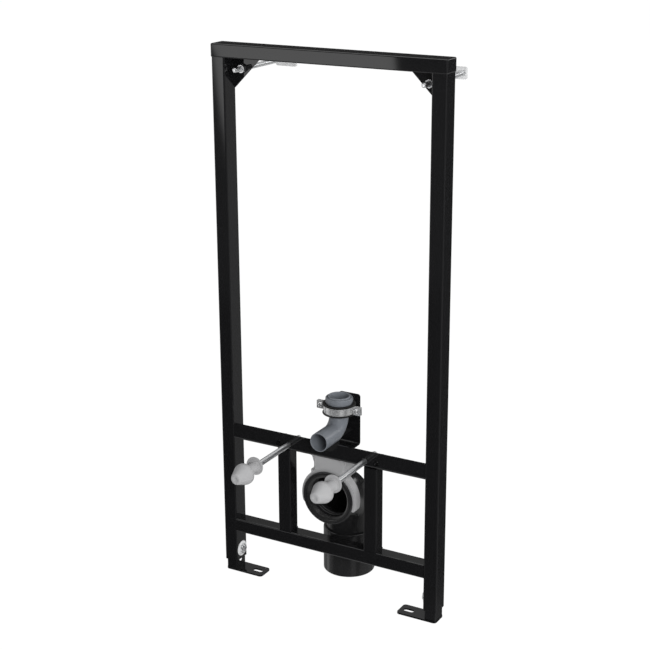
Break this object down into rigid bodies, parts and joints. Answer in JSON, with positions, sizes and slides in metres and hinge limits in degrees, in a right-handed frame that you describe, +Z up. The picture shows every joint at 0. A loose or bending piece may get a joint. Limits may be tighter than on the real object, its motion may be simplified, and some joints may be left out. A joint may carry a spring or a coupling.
{
  "type": "bidet installation frame",
  "caption": "Black wall frame on sliding feet that carries a wall-hung bidet: crossbars, two fixing rods, a clamped upper elbow and a waste elbow in a plastic holder.",
  "frame": {"origin": "middle of the left wall plate's back face, the face that bears on the wall", "axes": "+Z up, +Y towards the wall behind, -Y the front of the frame, +X to the right seen from the front"},
  "size_m": [0.513, 0.386, 1.144],
  "materials": {
    "black_coat": "satin black powder coat",
    "zinc": "bright zinc plating",
    "pale_plastic": "smooth moulded, light grey",
    "grey_plastic": "smooth moulded, mid grey",
    "black_plastic": "satin moulded, black",
    "rubber": "matt black"
  },
  "bodies": {
    "frame": {"left_leg": "black_coat", "right_leg": "black_coat", "top_bar": "black_coat", "upper_crossbar": "black_coat", "lower_crossbar": "black_coat", "left_strut": "black_coat", "right_strut": "black_coat", "left_gusset": "black_coat", "right_gusset": "black_coat", "left_wall_rod": "zinc", "right_wall_rod": "zinc", "left_wall_nuts": "zinc", "right_wall_nuts": "zinc", "left_wall_plate": "zinc", "right_wall_plate": "zinc", "left_foot_bolt": "zinc", "right_foot_bolt": "zinc", "left_foot_washer": "zinc", "right_foot_washer": "zinc", "left_foot_nut": "zinc", "right_foot_nut": "zinc", "left_fixing_rod": "zinc", "right_fixing_rod": "zinc", "threaded_bushes": "zinc", "left_washer": "pale_plastic", "right_washer": "pale_plastic", "left_cap": "pale_plastic", "right_cap": "pale_plastic", "clamp_bracket": "black_coat", "clamp_band_front": "zinc", "clamp_band_rear": "zinc", "clamp_rubber": "rubber", "clamp_screws": "zinc", "clamp_stud": "zinc", "upper_elbow": "grey_plastic", "upper_seal": "rubber", "elbow_holder": "pale_plastic", "waste_elbow": "black_plastic", "waste_seal": "rubber", "waste_sleeve": "black_plastic"},
    "foot_left": {"left_foot": "black_coat", "left_base_plate": "black_coat"},
    "foot_right": {"right_foot": "black_coat", "right_base_plate": "black_coat"}
  },
  "joints": [
    {"name": "left_foot_slide", "type": "slide", "parent": "frame", "child": "foot_left", "axis": [0, 0, -1], "range_m": [0, 0.2]},
    {"name": "right_foot_slide", "type": "slide", "parent": "frame", "child": "foot_right", "axis": [0, 0, -1], "range_m": [0, 0.2]}
  ]
}
